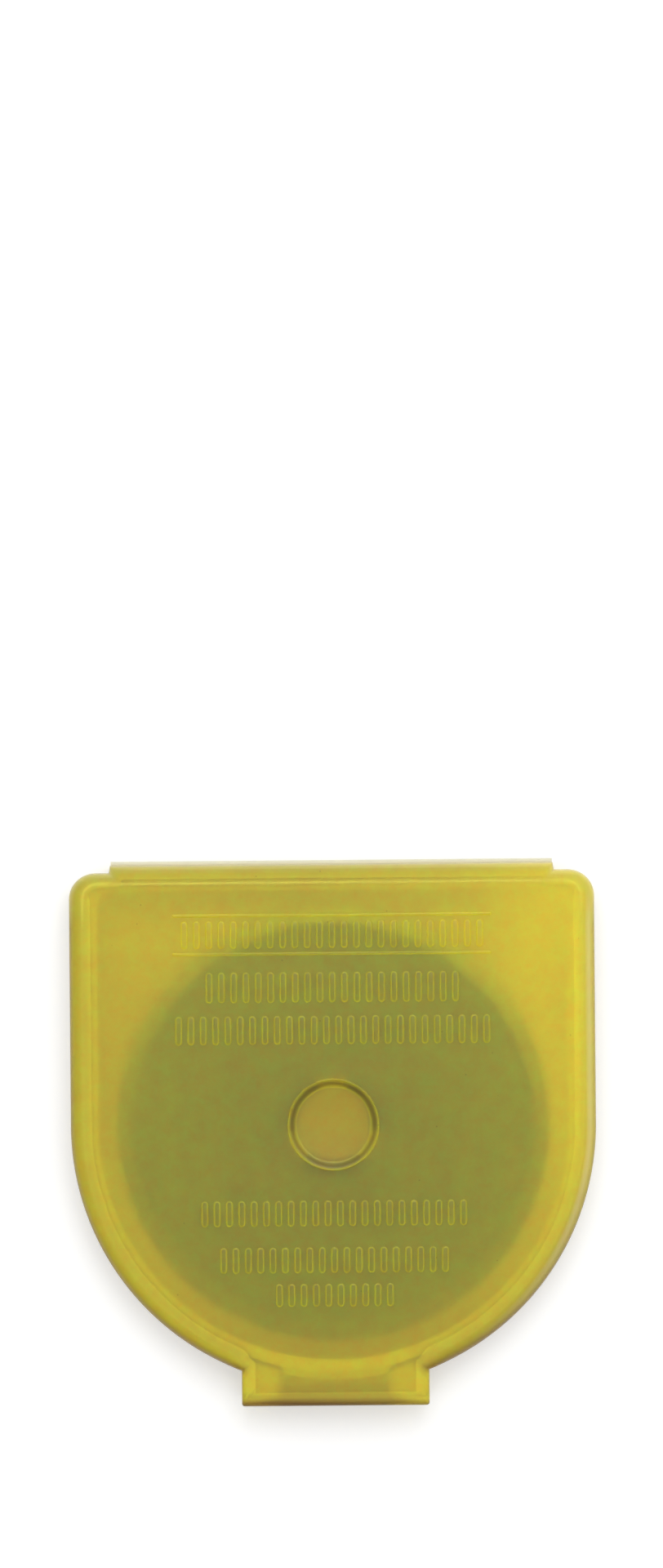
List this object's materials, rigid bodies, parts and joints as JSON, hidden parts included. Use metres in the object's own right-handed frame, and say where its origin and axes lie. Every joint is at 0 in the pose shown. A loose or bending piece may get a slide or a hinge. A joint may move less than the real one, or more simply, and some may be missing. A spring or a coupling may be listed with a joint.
{
  "type": "rotary cutter blade in storage case",
  "caption": "Round steel cutter blade with a lobed hole, kept on the boss of a flat translucent plastic clamshell case with a living hinge and a snap tab.",
  "frame": {"origin": "on the blade's axis, on the flat underside of the case", "axes": "+Z out of the lid, +Y from the blade's axis to the hinge, +X to the right as the picture shows it"},
  "size_m": [0.0546, 0.0567, 0.0055],
  "materials": {
    "blade_steel": "ground tool steel, lightly oiled, honed bright at the edge",
    "case_plastic": "translucent olive-yellow polypropylene, satin moulded"
  },
  "bodies": {
    "base": {"case_base": "case_plastic", "rotary_blade": "blade_steel", "hinge_web": "case_plastic"},
    "lid": {"case_lid": "case_plastic"}
  },
  "joints": [
    {"name": "lid_hinge", "type": "hinge", "parent": "base", "child": "lid", "pos_m": [0, 0.0274, 0.0028], "axis": [-1, 0, 0], "range_deg": [0, 180], "deforming": ["hinge_web"]}
  ]
}
